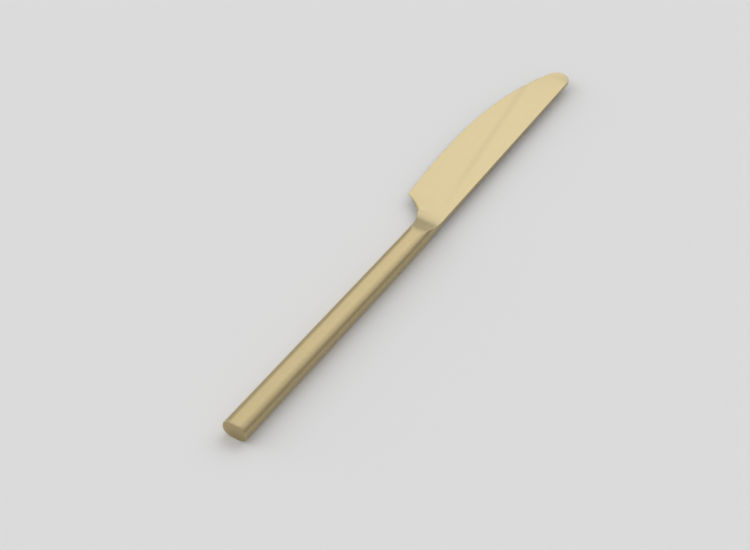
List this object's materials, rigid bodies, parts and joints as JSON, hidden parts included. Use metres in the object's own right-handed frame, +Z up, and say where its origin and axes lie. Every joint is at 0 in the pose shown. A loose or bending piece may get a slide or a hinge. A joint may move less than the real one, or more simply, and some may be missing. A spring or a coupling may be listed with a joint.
{
  "type": "table knife",
  "caption": "Table knife with a slim hollow handle of rounded section, sloped neck, notched heel and a plain curved blade, in satin champagne-gold steel.",
  "frame": {"origin": "middle of the handle's flat underside, the face that the knife lies on", "axes": "+X along the knife to the tip, +Y across it to the cutting edge, +Z up out of the table"},
  "size_m": [0.2299, 0.0226, 0.007],
  "materials": {
    "gold_steel": "satin champagne-gold coating on stainless steel",
    "cement": "dull grey filler, never seen"
  },
  "bodies": {
    "root": {"blade": "gold_steel", "handle_shell_upper": "gold_steel", "handle_shell_lower": "gold_steel", "butt_plug": "gold_steel", "tang_cement": "cement"}
  },
  "joints": []
}
